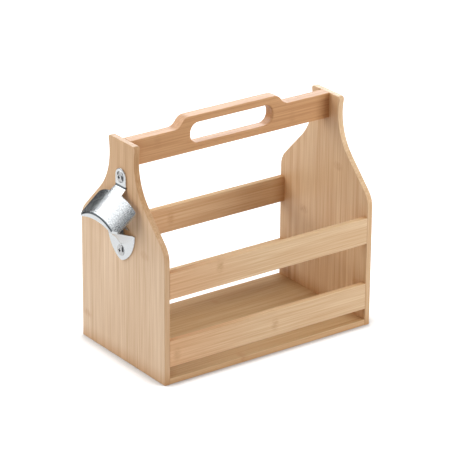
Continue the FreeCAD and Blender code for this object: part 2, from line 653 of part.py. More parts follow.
def strip_outline(sketch):
    """The right half of the strip on the panel: stem, catch, web behind the hood and upper tab."""
    tab = value("Sizes.tab_width / 2")
    center = at(0, value(UPPER_SCREW_Z))
    top = at(0, value(OPENER_TOP))
    catch = f"{PLATE_TOP} + Sizes.catch_gap"
    corners = (("0", SPOUT_ROOT),
               ("Sizes.stem_width / 2", SPOUT_ROOT),
               ("Sizes.stem_width / 2", catch),
               ("Sizes.catch_width / 2", catch),
               ("Sizes.web_width / 2", f"{catch} + Sizes.catch_flare"),
               ("Sizes.web_width / 2", f"{CREASE_Z} - Sizes.web_taper"),
               ("Sizes.tab_width / 2", CREASE_Z))
    points = [at(value(across), value(up)) for across, up in corners]
    points.append(at(tab, center.y))
    lines = [line(sketch, start, end) for start, end in zip(points, points[1:])]
    crown = arc(sketch, center, tab, points[-1], top)
    middle = line(sketch, top, points[0])
    join(sketch, ("Tangent", lines[-1], 2, crown, 1), ("Coincident", crown, 2, middle, 1),
         ("Coincident", middle, 2, lines[0], 1))
    for index, (across, up) in enumerate(corners):
        pin(sketch, f"corner{index}", lines[index], 1, across, up)
        if index:
            join(sketch, ("Coincident", lines[index - 1], 2, lines[index], 1))
    pin(sketch, "crown", crown, 3, "0", UPPER_SCREW_Z)
    bind(sketch, "crown_curve", "Sizes.tab_width / 2", "Radius", crown)
    sketch.addConstraint(Sketcher.Constraint("PointOnObject", middle, 1, -2))


def spout_section(body, name, height, width, reach, nose):
    """A level cut through the lip: a wedge that stands on the panel, with a rounded nose."""
    sketch = new_sketch(body, name, "XY_Plane", height)
    side = value(f"{width} / 2")
    radius = value(nose)
    center = at(value(f"{reach} - {nose}"), 0)
    corner = at(0, side)
    toward = corner - center
    turn = math.atan2(toward.y, toward.x) - math.acos(radius / toward.Length)
    touch = center + at(math.cos(turn), math.sin(turn)) * radius
    mirror = at(touch.x, -touch.y)
    chord = line(sketch, corner, at(0, -side))
    right = line(sketch, at(0, -side), mirror)
    tip = arc(sketch, center, radius, mirror, touch)
    left = line(sketch, touch, corner)
    join(sketch, ("Coincident", chord, 2, right, 1), ("Tangent", right, 2, tip, 1),
         ("Tangent", tip, 2, left, 1), ("Coincident", left, 2, chord, 1))
    pin(sketch, "left", chord, 1, "0", f"{width} / 2")
    pin(sketch, "right", chord, 2, "0", f"-{width} / 2")
    pin(sketch, "nose", tip, 3, f"{reach} - {nose}", "0")
    bind(sketch, "nose_curve", nose, "Radius", tip)
    return sketch


def loft(body, kind, name, sections):
    """Adds or cuts the solid that runs through some sections."""
    feature = body.newObject(f"PartDesign::{kind}", f"{body.Name}_{name}")
    feature.Profile = sections[0]
    feature.Sections = sections[1:]
    doc.recompute()
    return feature


def half_pad(body, name, draw):
    """A plate on the panel, padded from its right half and mirrored."""
    sketch = new_sketch(body, name, "YZ_Plane")
    draw(sketch)
    return mirrored(body, pad(body, sketch, "Sizes.opener_wall"), "XZ_Plane")


def bottle_opener():
    """The opener in one piece: back, hood over the mouth, and lip under it."""
    body = new_body("bottle_opener", f"-{HALF_LENGTH}", rotation=Rotation(Z_AXIS, 180))
    hood(body)
    half_pad(body, "plate", plate_outline)
    nose = "Sizes.spout_nose_radius"
    loft(body, "AdditiveLoft", "spout", [
        spout_section(body, "spout_top", PLATE_TOP, "Sizes.spout_width", "Sizes.spout_reach", nose),
        spout_section(body, "spout_belly", f"{PLATE_TOP} - Sizes.spout_height / 2",
                      "Sizes.spout_belly_width", "Sizes.spout_belly_reach", nose),
        spout_section(body, "spout_root", SPOUT_ROOT, "Sizes.spout_root_width",
                      "Sizes.opener_wall / 2", nose)])
    inner_nose = f"({nose} - Sizes.opener_wall)"
    loft(body, "SubtractiveLoft", "hollow", [
        spout_section(body, "hollow_top", PLATE_TOP, "Sizes.hollow_width",
                      "(Sizes.spout_reach - Sizes.opener_wall)", inner_nose),
        spout_section(body, "hollow_floor", f"{PLATE_TOP} - Sizes.hollow_depth",
                      "Sizes.hollow_floor_width", "Sizes.hollow_floor_reach", inner_nose)])
    half_pad(body, "strip", strip_outline)
    wall = value("Sizes.opener_wall")
    crease = value(CREASE_Z)
    top = value(PLATE_TOP)

    def on_outline(edge):
        on_tab = edge.BoundBox.ZMin > crease - wall
        on_plate = edge.BoundBox.ZMax < top + NEAR and isinstance(edge.Curve, Part.Circle)
        return on_level(edge, X_AXIS, (wall,)) and (on_tab or on_plate)

    dress(body, "Fillet", "Radius", "Sizes.opener_edge_radius", on_outline)
    holes = new_sketch(body, "screw_holes", "YZ_Plane")
    circles(holes, (("0", UPPER_SCREW_Z), ("0", LOWER_SCREW_Z)),
            "Sizes.screw_hole_diameter / 2")
    cut_through(body, holes)
    return body


# Screws
def screw(label, height):
    """A short screw with a domed head and a cross recess, its point inside the panel."""
    body = new_body(label, f"-{HALF_LENGTH} - Sizes.opener_wall", "0", height, Rotation(Y_AXIS, -90))
    sketch = new_sketch(body, "profile", "XZ_Plane")
    head = "Sizes.screw_head_diameter / 2"
    shank = "Sizes.screw_shank_diameter / 2"
    tip = "-Sizes.opener_wall - Sizes.screw_depth"
    rise = value("Sizes.screw_head_height - Sizes.screw_head_rim")
    dome_radius = (value(head) ** 2 + rise ** 2) / (2 * rise)
    corners = ((head, "0"), (shank, "0"), (shank, f"{tip} + Sizes.screw_point"), ("0", tip),
               ("0", "Sizes.screw_head_height"))
    points = [at(value(head), value("Sizes.screw_head_rim"))]
    points += [at(value(across), value(up)) for across, up in corners]
    lines = [line(sketch, start, end) for start, end in zip(points, points[1:])]
    curve = arc(sketch, points[-1] - at(0, dome_radius), dome_radius, points[0], points[-1])
    for index, (across, up) in enumerate(corners):
        following = (lines[index + 1], 1) if index + 1 < len(lines) else (curve, 2)
        join(sketch, ("Coincident", lines[index], 2, *following))
        pin(sketch, f"corner{index}", lines[index], 2, across, up)
    join(sketch, ("Coincident", curve, 1, lines[0], 1))
    pin(sketch, "rim", lines[0], 1, head, "Sizes.screw_head_rim")
    sketch.addConstraint(Sketcher.Constraint("PointOnObject", curve, 3, -2))
    turned = body.newObject("PartDesign::Revolution", f"{label}_turned")
    turned.Profile = sketch
    turned.ReferenceAxis = (sketch, ["V_Axis"])
    turned.Angle = 360
    doc.recompute()
    for name, width, length in (("recess_across", "Sizes.recess_width", "Sizes.recess_length"),
                                ("recess_along", "Sizes.recess_length", "Sizes.recess_width")):
        arm = new_sketch(body, name, "XY_Plane", "Sizes.screw_head_height")
        rectangle(arm, width, length)
        pocket(body, arm, "Sizes.recess_depth")
    return body


def build():
    """Every piece of the caddy."""
    drill_for_screws(end_panel("left"))
    end_panel("right")
    straight_board("base_board", "Sizes.caddy_width", "Sizes.base_thickness", "0", BASE_Z)
    for side, sign in (("front", "-"), ("rear", "")):
        for level, middle in (("lower", LOWER_SLAT_Z), ("upper", UPPER_SLAT_Z)):
            straight_board(f"{side}_{level}_slat", "Sizes.slat_thickness", "Sizes.slat_height",
                           f"{sign}{SLAT_Y}", middle)
    carry_handle()
    bottle_opener()
    screw("opener_upper_screw", UPPER_SCREW_Z)
    screw("opener_lower_screw", LOWER_SCREW_Z)
    for name in ROWS:
        for side in ("left", "right"):
            dowels(name, side)
    doc.recompute()


def export():
    """Checks every object and writes each body to its own file."""
    for item in doc.Objects:
        if "Invalid" in item.State or "Error" in item.State:
            raise RuntimeError(f"{item.Label} did not build: {item.State}")
    os.makedirs("parts", exist_ok=True)
    for item in doc.Objects:
        if item.TypeId != "PartDesign::Body":
            continue
        if item.Shape.isNull() or not item.Shape.isValid():
            raise RuntimeError(f"{item.Label} has no valid shape")
        item.Shape.exportStep(f"parts/{item.Label}.step")
        print(item.Label, len(item.Shape.Solids), round(item.Shape.Volume, 1))


build()
export()
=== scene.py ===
"""Looks of a bamboo bottle caddy with a plated bottle opener, laid out as an add-on.

Metres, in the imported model's own frame: X runs along the caddy towards the end without the opener,
Y from its front to its rear and Z up. The floor is at Z 0.
"""

import math

import bmesh
import bpy
from bpy.props import FloatProperty, FloatVectorProperty, PointerProperty
from mathutils import Euler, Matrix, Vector


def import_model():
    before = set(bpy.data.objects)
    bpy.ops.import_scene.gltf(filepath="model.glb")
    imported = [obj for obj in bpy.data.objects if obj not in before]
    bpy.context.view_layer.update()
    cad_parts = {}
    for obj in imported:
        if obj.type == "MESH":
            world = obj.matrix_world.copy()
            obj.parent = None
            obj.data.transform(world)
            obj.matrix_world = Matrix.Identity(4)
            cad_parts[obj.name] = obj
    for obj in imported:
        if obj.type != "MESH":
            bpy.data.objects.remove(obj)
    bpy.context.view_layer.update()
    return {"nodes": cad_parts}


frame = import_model()

bl_info = {
    "name": "Bamboo bottle caddy",
    "version": (1, 0, 0),
    "blender": (4, 5, 0),
    "location": "View3D > Sidebar > Caddy",
    "description": "Finishes the packed bottle caddy in bamboo and plated metal and sets its stage",
    "category": "Object",
}

MM = 0.001
WHITE = (1, 1, 1, 1)

# Colour sockets of a mixing node, by number because other kinds of value share their names
FIRST = 6
SECOND = 7
MIXED = 2

# Shares of a face's normal along an axis between which the face comes to count as turned that way
BARELY_TURNED = 0.3
WELL_TURNED = 0.8

LACQUER_IOR = 1.48

# How the grain lies in each board: the axes along it, across it on the broad face, and through it
UPRIGHT = "ZYX"
LENGTHWISE = "XZY"
FLAT = "XYZ"

# Boards: their grain, a number that sets their pattern apart, and the knuckles of the bamboo stem
# that show on them, each given in millimetres along and across the grain
BOARDS = {
    "left_end_panel": (UPRIGHT, 3.0, ((26, 60), (119, -37), (150, 48))),
    "right_end_panel": (UPRIGHT, 11.0, ((88, 31), (150, -22), (40, -55))),
    "base_board": (FLAT, 19.0, ((-30, -66), (70, -40), (-85, 5), (20, 48))),
    "front_lower_slat": (LENGTHWISE, 27.0, ((6, 29), (-106, 29))),
    "front_upper_slat": (LENGTHWISE, 35.0, ((-58, 105),)),
    "rear_lower_slat": (LENGTHWISE, 43.0, ((52, 33), (-70, 24))),
    "rear_upper_slat": (LENGTHWISE, 51.0, ((-22, 99),)),
    "carry_handle": (LENGTHWISE, 59.0, ((70, 205), (-84, 212))),
}
OPENER_PANEL = "left_end_panel"
PLAIN_PANEL = "right_end_panel"
BASE = "base_board"
SLATS = ("front_lower_slat", "front_upper_slat", "rear_lower_slat", "rear_upper_slat")
HANDLE = "carry_handle"
OPENER = "bottle_opener"
SCREWS = ("opener_upper_screw", "opener_lower_screw")


def linear(hex_colour):
    """An sRGB hex colour as linear red, green and blue."""
    channels = [int(hex_colour[place:place + 2], 16) / 255 for place in (1, 3, 5)]
    return [c / 12.92 if c <= 0.04045 else ((c + 0.055) / 1.055) ** 2.4 for c in channels]


def colour(name, description, hex_colour):
    """A colour that a user can change."""
    return FloatVectorProperty(name=name, description=description, subtype="COLOR", size=3,
                               min=0, max=1, default=linear(hex_colour))


def length(name, description, millimetres):
    """A length that a user can change."""
    return FloatProperty(name=name, description=description, subtype="DISTANCE", unit="LENGTH",
                         min=0, precision=5, default=millimetres * MM)


def share(name, description, default):
    """A number from 0 to 1 that a user can change."""
    return FloatProperty(name=name, description=description, subtype="FACTOR", min=0, max=1,
                         default=default)


class BambooSettings(bpy.types.PropertyGroup):
    """Colours and sizes of the bamboo boards."""
    # Painted sheen: the opener panel's bamboo is paler and less saturated than the slats'
    panel_pale_with_sheen: colour("Opener panel", "The opener panel's bamboo between its fibres", "#E4C9AC")
    panel_dark_with_sheen: colour("Opener panel fibres", "The opener panel's darker fibres", "#C8A580")
    # Painted shade: the opener panel is tinted darker towards its top, between these two heights
    top_shade: colour("Panel top", "Tint of the opener panel's handled top", "#EBDECC")
    top_shade_start: length("Top tint", "Height where that tint begins", 110)
    top_shade_full: length("Full top tint", "Height where that tint is full", 175)
    edge: colour("Sawn edges", "Tint of the opener panel's long edges", "#FFF6EA")
    slat_pale: colour("Slats", "Bamboo of the slats, the base and the plain panel", "#EACCA6")
    slat_dark: colour("Slat fibres", "Darker fibres of the slats, the base and the plain panel", "#D1A87D")
    # Painted shade: a warmer, darker tint towards one end of each slat, and the share of its length it
    # fades over
    root: colour("Root tint", "Tint of the slats' ends nearer the stem's root", "#FDEDE3")
    end_shade_share: share("Root share", "Share of a slat's length that fades into that tint", 0.45)
    # Painted shade: the upper faces of the slats and the base are tinted darker
    shaded_slat_top: colour("Worn slats", "Tint of the slats' worn upper faces", "#F8F6F0")
    shaded_base_top: colour("Worn base", "Tint of the base's worn upper face", "#E2DFD0")
    # The handle's bamboo is darker and warmer than the slats': partly its own wood, partly painted shade
    handle_pale_and_shade: colour("Handle", "The handle's bamboo between its fibres", "#D8A879")
    handle_dark_and_shade: colour("Handle fibres", "The handle's darker fibres", "#BC885A")
    # Painted shade where pieces meet: its tint and how far it spreads
    corner_shade: colour("Corners", "Tint of the stain where pieces meet", "#E3CBAE")
    corner_shade_reach: length("Corner reach", "How far that stain spreads", 16)
    knuckle: colour("Knuckles", "Marks where the stem's joints were", "#B9875A")
    knuckle_length: length("Knuckle length", "Length of a knuckle along the grain", 6)
    knuckle_width: length("Knuckle width", "Width of a knuckle across the grain", 10)
    strip_width: length("Strip", "Width of one glued strip", 5.5)
    fibre_width: length("Fibre", "Width of a streak of fibres", 1.3)
    fibre_length: length("Fibre length", "Length of a streak of fibres", 70)
    roughness: share("Roughness", "Roughness of the lacquered surface", 0.4)
    worn_roughness: share("Worn roughness", "Roughness of worn upper faces", 0.7)


class MetalSettings(bpy.types.PropertyGroup):
    """Colours and sizes of the plated metal."""
    plate: colour("Nickel", "The opener's bright plating", "#DBDEE0")
    pit: colour("Pits", "The plating in the hood's blasted pits", "#AFB3B6")
    # Painted shade and reflection: the dark colour laid along the bends, in the crease and in the screws'
    # recesses
    dull: colour("Dull plating", "The plating in bends, in the crease and in the recesses", "#5A5F63")
    screw: colour("Screws", "The screws' plating", "#C6C7C8")
    grit: length("Grit", "Size of the hood's blasted pits and of the screws' tool marks", 0.75)
    relief: length("Relief", "Depth of the hood's blasted pits", 0.05)
    # Where the painted shade in the crease lies, and how far it reaches
    crease: length("Crease", "Height of the dull crease under the opener's tab", 176.1)
    crease_reach: length("Crease reach", "How far it is dull above and below", 1.3)
    fold: length("Fold shade", "How far the shade in a screw's recess reaches", 2.2)
    roughness: share("Roughness", "Roughness of the opener's plating", 0.2)
    screw_roughness: share("Screw roughness", "Roughness of the screws' plating", 0.14)


class DowelSettings(bpy.types.PropertyGroup):
    """Colours of the hidden dowels."""
    wood: colour("Beech", "Turned beech", "#D8B98E")
    pores: colour("Flecks", "The beech's short dark flecks", "#B48A5C")


class StageSettings(bpy.types.PropertyGroup):
    """Floor, light and camera."""
    floor: colour("Floor", "The pale floor", "#D8D8D8")
    floor_glow: FloatProperty(name="Floor glow", description="Light that the eye sees the floor give",
                              min=0, default=0.75)
    floor_mirrored: share("Mirrored floor", "Share of that glow that the metal mirrors", 0.33)
    contact: length("Contact shade", "How far the shade under the caddy's edges reaches", 20)
    fill: FloatProperty(name="Fill", description="Even light from all round", min=0, default=0.4)
    lens: FloatProperty(name="Lens", description="Focal length on a 36 mm sensor, in millimetres",
                        unit="CAMERA", min=1, default=218.1)
    eye: FloatVectorProperty(name="Camera", description="Where the camera stands", subtype="XYZ",
                             unit="LENGTH", default=(-1.4035, -1.9377, 1.1111))
    turn: FloatVectorProperty(name="Camera turn", description="How the camera is turned", subtype="EULER",
                              unit="ROTATION",
                              default=[math.radians(angle) for angle in (67.242, -0.417, -35.704)])


def wire(tree, node, inputs):
    """Sets or links a node's inputs; each is a socket with a number, a colour or an output."""
    for socket, source in inputs:
        if isinstance(source, bpy.types.NodeSocket):
            tree.links.new(source, node.inputs[socket])
        else:
            node.inputs[socket].default_value = source


def add(tree, kind, inputs=(), **settings):
    """Adds a node with its settings and its inputs."""
    node = tree.nodes.new(kind)
    for name, setting in settings.items():
        setattr(node, name, setting)
    wire(tree, node, inputs)
    return node


def new_material(name):
    """An empty material with its shader, ready for nodes."""
    material = bpy.data.materials.new(name)
    material.use_nodes = True
    tree = material.node_tree
    tree.nodes.clear()
    shader = add(tree, "ShaderNodeBsdfPrincipled")
    add(tree, "ShaderNodeOutputMaterial", [("Surface", shader.outputs["BSDF"])])
    return material, tree, shader


def opaque(rgb):
    """A colour with its full alpha."""
    return (*rgb, 1)


def turned_to(tree, axis, start, full):
    """0 where the surface's normal has the start share along an axis, 1 where it has the full share."""
    normal = add(tree, "ShaderNodeTexCoord").outputs["Normal"]
    along = add(tree, "ShaderNodeSeparateXYZ", [("Vector", normal)]).outputs[axis]
    return add(tree, "ShaderNodeMapRange", [("Value", along), ("From Min", start),
                                            ("From Max", full)]).outputs["Result"]


def open_to_sky(tree, reach, start, full, only_own=False):
    """0 where what is within reach leaves the start share of the sky free, 1 at the full share."""
    free = add(tree, "ShaderNodeAmbientOcclusion", [("Distance", reach)], samples=16, only_local=only_own)
    return add(tree, "ShaderNodeMapRange", [("Value", free.outputs["AO"]), ("From Min", start),
                                            ("From Max", full)]).outputs["Result"]


def grain_places(tree, grain):
    """The place on a board, ordered along, across and through its grain, and its place across."""
    place = add(tree, "ShaderNodeTexCoord").outputs["Object"]
    parts = add(tree, "ShaderNodeSeparateXYZ", [("Vector", place)])
    along, across, through = (parts.outputs[axis] for axis in grain)
    ordered = add(tree, "ShaderNodeCombineXYZ", [("X", along), ("Y", across), ("Z", through)])
    return ordered.outputs["Vector"], across


def streaks(tree, place, size, seed, detail):
    """Noise drawn out along the grain; size is its length and its width."""
    finer_share = 0.55
    drawn_out, wide = size
    stretch = (1 / drawn_out, 1 / wide, 1 / wide)
    drawn = add(tree, "ShaderNodeVectorMath", [(0, place), (1, stretch), (2, (seed, seed, seed))],
                operation="MULTIPLY_ADD")
    noise = add(tree, "ShaderNodeTexNoise", [("Vector", drawn.outputs["Vector"]), ("Scale", 1.0),
                                             ("Detail", detail), ("Roughness", finer_share)])
    return noise.outputs["Fac"]


def strip_tone(tree, across, seed, width):
    """A tone of its own for each glued strip."""
    strip = add(tree, "ShaderNodeMath", [(0, across), (1, 1 / width), (2, seed)], operation="MULTIPLY_ADD")
    number = add(tree, "ShaderNodeMath", [(0, strip.outputs["Value"])], operation="FLOOR")
    return add(tree, "ShaderNodeTexWhiteNoise", [("W", number.outputs["Value"])],
               noise_dimensions="1D").outputs["Value"]


def knuckle_mark(tree, place, knuckles, settings):
    """1 in the heart of a knuckle and 0 away from all of them."""
    heart = 0.1
    shrink = (1 / settings.knuckle_length, 1 / settings.knuckle_width, 0)
    nearest = None
    for along, across in knuckles:
        offset = add(tree, "ShaderNodeVectorMath", [(0, place), (1, (along * MM, across * MM, 0))],
                     operation="SUBTRACT")
        scaled = add(tree, "ShaderNodeVectorMath", [(0, offset.outputs["Vector"]), (1, shrink)],
                     operation="MULTIPLY")
        away = add(tree, "ShaderNodeVectorMath", [(0, scaled.outputs["Vector"])],
                   operation="LENGTH").outputs["Value"]
        if nearest is None:
            nearest = away
        else:
            nearest = add(tree, "ShaderNodeMath", [(0, nearest), (1, away)],
                          operation="MINIMUM").outputs["Value"]
    return add(tree, "ShaderNodeMapRange", [("Value", nearest), ("From Min", heart), ("From Max", 1.0),
                                            ("To Min", 1.0), ("To Max", 0.0)],
               interpolation_type="SMOOTHSTEP").outputs["Result"]


def slat_end_shade(tree, settings):
    """1 at one end of a slat, fading along the slat: where a warmer, darker painted shade lies."""
    places = add(tree, "ShaderNodeTexCoord").outputs["Generated"]
    along = add(tree, "ShaderNodeSeparateXYZ", [("Vector", places)]).outputs["X"]
    return add(tree, "ShaderNodeMapRange", [("Value", along), ("From Min", settings.end_shade_share),
                                            ("From Max", 0.0)]).outputs["Result"]


def shaded_top(tree, place, settings):
    """0 low on an upright board, 1 at its top, which is painted darker as shade."""
    height = add(tree, "ShaderNodeSeparateXYZ", [("Vector", place)]).outputs["X"]
    return add(tree, "ShaderNodeMapRange", [("Value", height), ("From Min", settings.top_shade_start),
                                            ("From Max", settings.top_shade_full)]).outputs["Result"]


def bamboo(name, pale_wood, dark_wood):
    """Strip-laminated bamboo, sanded and given a thin satin lacquer.

    It shows fine parallel fibres, strips that differ a little in tone, and darker knuckles.
    Real fibres are about 0.3 mm wide; they are drawn as streaks wide enough to show.
    """
    settings = bpy.context.scene.caddy_bamboo
    grain, seed, knuckles = BOARDS[name]
    material, tree, shader = new_material(f"lacquered_bamboo_{name}")
    place, across = grain_places(tree, grain)

    # Fibres count for most of the tone, then the drift along a board, then the single strip; the wood
    # is darkest and palest at two sums of the three
    drift_share, strip_share = 0.35, 0.16
    darkest, palest = 0.48, 1.02
    fibre_size = (settings.fibre_length, settings.fibre_width)
    drift_size = (3 * settings.fibre_length, 5 * settings.fibre_width)
    fine = streaks(tree, place, fibre_size, seed, detail=2.0)
    drift = streaks(tree, place, drift_size, 2 * seed, detail=1.0)
    strip = strip_tone(tree, across, seed, settings.strip_width)
    drifted = add(tree, "ShaderNodeMath", [(0, drift), (1, drift_share), (2, fine)],
                  operation="MULTIPLY_ADD").outputs["Value"]
    summed = add(tree, "ShaderNodeMath", [(0, strip), (1, strip_share), (2, drifted)],
                 operation="MULTIPLY_ADD").outputs["Value"]
    pale = add(tree, "ShaderNodeMapRange", [("Value", summed), ("From Min", darkest),
                                            ("From Max", palest)]).outputs["Result"]
    wood = add(tree, "ShaderNodeMix", [("Factor", pale), (FIRST, opaque(dark_wood)),
                                       (SECOND, opaque(pale_wood))], data_type="RGBA").outputs[MIXED]

    # A slat is painted warmer and darker towards one end, as shade. What is lifted in and out wears the
    # upper faces of the base and the slats dull, and those faces are also painted darker as shade. The
    # opener panel's long edges are warmer; its top is painted darker as shade
    tints = []
    dull = settings.roughness
    if name in SLATS:
        tints.append((slat_end_shade(tree, settings), settings.root))
    if name == BASE or name in SLATS:
        worn_and_shaded = turned_to(tree, "Z", BARELY_TURNED, WELL_TURNED)
        tints.append((worn_and_shaded, settings.shaded_base_top if name == BASE else settings.shaded_slat_top))
        dull = add(tree, "ShaderNodeMapRange", [("Value", worn_and_shaded), ("To Min", settings.roughness),
                                                ("To Max", settings.worn_roughness)]).outputs["Result"]
    if name == OPENER_PANEL:
        edge = add(tree, "ShaderNodeMath", [(0, turned_to(tree, "Y", BARELY_TURNED, WELL_TURNED)),
                                            (1, turned_to(tree, "Y", -BARELY_TURNED, -WELL_TURNED))],
                   operation="MAXIMUM").outputs["Value"]
        tints.append((edge, settings.edge))
        tints.append((shaded_top(tree, place, settings), settings.top_shade))
    for mask, tint in tints:
        wood = add(tree, "ShaderNodeMix", [("Factor", mask), (FIRST, wood), (SECOND, opaque(tint))],
                   data_type="RGBA", blend_type="MULTIPLY").outputs[MIXED]

    # A knuckle breaks up into short ticks between the fibres
    tick_size = (4 * MM, 0.9 * MM)
    gap, heart = 0.35, 0.65
    faint, strong = 0.1, 0.6
    ticks = streaks(tree, place, tick_size, 3 * seed, detail=1.0)
    tick = add(tree, "ShaderNodeMapRange", [("Value", ticks), ("From Min", gap), ("From Max", heart),
                                            ("To Min", faint), ("To Max", strong)]).outputs["Result"]
    mark = add(tree, "ShaderNodeMath", [(0, knuckle_mark(tree, place, knuckles, settings)), (1, tick)],
               operation="MULTIPLY").outputs["Value"]
    wood = add(tree, "ShaderNodeMix", [("Factor", mark), (FIRST, wood), (SECOND, opaque(settings.knuckle))],
               data_type="RGBA").outputs[MIXED]

    # Painted shade: where pieces meet and little sky is free, the wood is painted a darker, warm brown
    tight_corner = 0.4
    painted_shade = open_to_sky(tree, settings.corner_shade_reach, 1.0, tight_corner)
    wood = add(tree, "ShaderNodeMix", [("Factor", painted_shade), (FIRST, wood), (SECOND, opaque(settings.corner_shade))],
               data_type="RGBA", blend_type="MULTIPLY").outputs[MIXED]

    # The lacquer sinks into the dark fibres, which are rougher and a little lower than the pale wood
    rougher, smoother = 0.08, -0.06
    relief = 0.12 * MM
    sunk = add(tree, "ShaderNodeMapRange", [("Value", fine), ("To Min", rougher), ("To Max", smoother)])
    rough = add(tree, "ShaderNodeMath", [(0, sunk.outputs["Result"]), (1, dull)], operation="ADD")
    bump = add(tree, "ShaderNodeBump", [("Strength", 0.18), ("Distance", relief), ("Height", fine)])
    wire(tree, shader, [("Base Color", wood), ("Roughness", rough.outputs["Value"]),
                        ("Normal", bump.outputs["Normal"]), ("IOR", LACQUER_IOR)])
    return material


def plated_opener():
    """Steel, bent, blasted with fine grit on its hood, and plated with bright nickel.

    The flats mirror their surroundings softly. The hood's pits catch less light, which shows as a
    grain where bright meets dark. Where the metal was bent, a dark reflection is painted, and in the crease
    a dark shade.
    Real grit leaves pits of about 0.2 mm; they are drawn coarse enough to show.
    """
    settings = bpy.context.scene.caddy_metal
    material, tree, shader = new_material("blasted_nickel_plate")
    place = add(tree, "ShaderNodeTexCoord").outputs["Object"]
    grain = add(tree, "ShaderNodeTexNoise", [("Vector", place), ("Scale", 1 / settings.grit),
                                             ("Detail", 1.0)]).outputs["Fac"]

    # Pits lie between two levels of the noise, on the hood alone, the one broad face that slopes up
    pit_rim, pit_bottom = 0.62, 0.4
    pits = add(tree, "ShaderNodeMapRange", [("Value", grain), ("From Min", pit_rim),
                                            ("From Max", pit_bottom)]).outputs["Result"]
    on_hood = turned_to(tree, "Z", start=0.4, full=0.55)
    pitted = add(tree, "ShaderNodeMath", [(0, pits), (1, on_hood)], operation="MULTIPLY").outputs["Value"]
    tone = add(tree, "ShaderNodeMix", [("Factor", pitted), (FIRST, opaque(settings.plate)),
                                       (SECOND, opaque(settings.pit))], data_type="RGBA").outputs[MIXED]

    # Bends face outwards and a little up, between the flat rim and the sloping hood; a dark reflection is
    # painted on them
    outwards = turned_to(tree, "X", start=-0.66, full=-0.78)
    upwards = turned_to(tree, "Z", start=0.1, full=0.25)
    bend_reflection = add(tree, "ShaderNodeMath", [(0, outwards), (1, upwards)], operation="MULTIPLY").outputs["Value"]

    # The crease is painted dark as shade in the nearer half of its reach, and this fades in the other
    height = add(tree, "ShaderNodeSeparateXYZ", [("Vector", place)]).outputs["Z"]
    offset = add(tree, "ShaderNodeMath", [(0, height), (1, settings.crease)], operation="SUBTRACT")
    apart = add(tree, "ShaderNodeMath", [(0, offset.outputs["Value"])], operation="ABSOLUTE")
    crease = add(tree, "ShaderNodeMapRange", [("Value", apart.outputs["Value"]),
                                              ("From Min", settings.crease_reach),
                                              ("From Max", settings.crease_reach / 2)]).outputs["Result"]
    painted_shade_and_reflection = add(tree, "ShaderNodeMath", [(0, bend_reflection), (1, crease)], operation="MAXIMUM").outputs["Value"]
    tone = add(tree, "ShaderNodeMix", [("Factor", painted_shade_and_reflection), (FIRST, tone), (SECOND, opaque(settings.dull))],
               data_type="RGBA").outputs[MIXED]

    # The grain makes the gloss a little uneven
    smoother, rougher = settings.roughness - 0.08, settings.roughness + 0.12
    rough = add(tree, "ShaderNodeMapRange", [("Value", grain), ("To Min", smoother), ("To Max", rougher)])
    bump = add(tree, "ShaderNodeBump", [("Strength", 0.8), ("Distance", settings.relief),
                                        ("Height", pitted)])
    wire(tree, shader, [("Base Color", tone), ("Metallic", 1.0), ("Roughness", rough.outputs["Result"]),
                        ("Normal", bump.outputs["Normal"])])
    return material


def plated_screw():
    """Steel, turned and headed, then plated with bright nickel.

    A sharper mirror than the opener, with fine marks of the tool and painted shade in the recess.
    """
    settings = bpy.context.scene.caddy_metal
    material, tree, shader = new_material("turned_nickel_plate")
    place = add(tree, "ShaderNodeTexCoord").outputs["Object"]
    marks = add(tree, "ShaderNodeTexNoise", [("Vector", place), ("Scale", 1 / settings.grit),
                                             ("Detail", 2.0)]).outputs["Fac"]
    # Painted shade: the recess is darkened where little sky is free
    clear = open_to_sky(tree, settings.fold, start=0.45, full=0.8, only_own=True)
    tone = add(tree, "ShaderNodeMix", [("Factor", clear), (FIRST, opaque(settings.dull)),
                                       (SECOND, opaque(settings.screw))], data_type="RGBA").outputs[MIXED]
    smoother, rougher = settings.screw_roughness - 0.04, settings.screw_roughness + 0.06
    rough = add(tree, "ShaderNodeMapRange", [("Value", marks), ("To Min", smoother), ("To Max", rougher)])
    wire(tree, shader, [("Base Color", tone), ("Metallic", 1.0), ("Roughness", rough.outputs["Result"])])
    return material


def turned_beech():
    """Beech, turned to a rod: pale, close-grained, with short dark flecks along the rod."""
    settings = bpy.context.scene.caddy_dowels
    fleck_size = (2.5 * MM, 0.5 * MM)
    faint, strong = 0.55, 0.75
    seed = 7.0
    relief = 0.1 * MM
    material, tree, shader = new_material("turned_beech")
    place = grain_places(tree, LENGTHWISE)[0]
    flecks = streaks(tree, place, fleck_size, seed, detail=2.0)
    dark = add(tree, "ShaderNodeMapRange", [("Value", flecks), ("From Min", faint), ("From Max", strong)])
    wood = add(tree, "ShaderNodeMix", [("Factor", dark.outputs["Result"]), (FIRST, opaque(settings.wood)),
                                       (SECOND, opaque(settings.pores))], data_type="RGBA")
    bump = add(tree, "ShaderNodeBump", [("Strength", 0.2), ("Distance", relief), ("Height", flecks)])
    wire(tree, shader, [("Base Color", wood.outputs[MIXED]), ("Roughness", 0.6),
                        ("Normal", bump.outputs["Normal"])])
    return material


def finish_node(name, material):
    """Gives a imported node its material."""
    node = frame["nodes"][name]
    node.data.materials.clear()
    node.data.materials.append(material)


class CADDY_OT_end_panels(bpy.types.Operator):
    """Finish the two end panels in upright bamboo"""
    bl_idname = "caddy.end_panels"
    bl_label = "End panels"

    def execute(self, context):
        settings = context.scene.caddy_bamboo
        finish_node(OPENER_PANEL, bamboo(OPENER_PANEL, settings.panel_pale_with_sheen, settings.panel_dark_with_sheen))
        finish_node(PLAIN_PANEL, bamboo(PLAIN_PANEL, settings.slat_pale, settings.slat_dark))
        return {"FINISHED"}


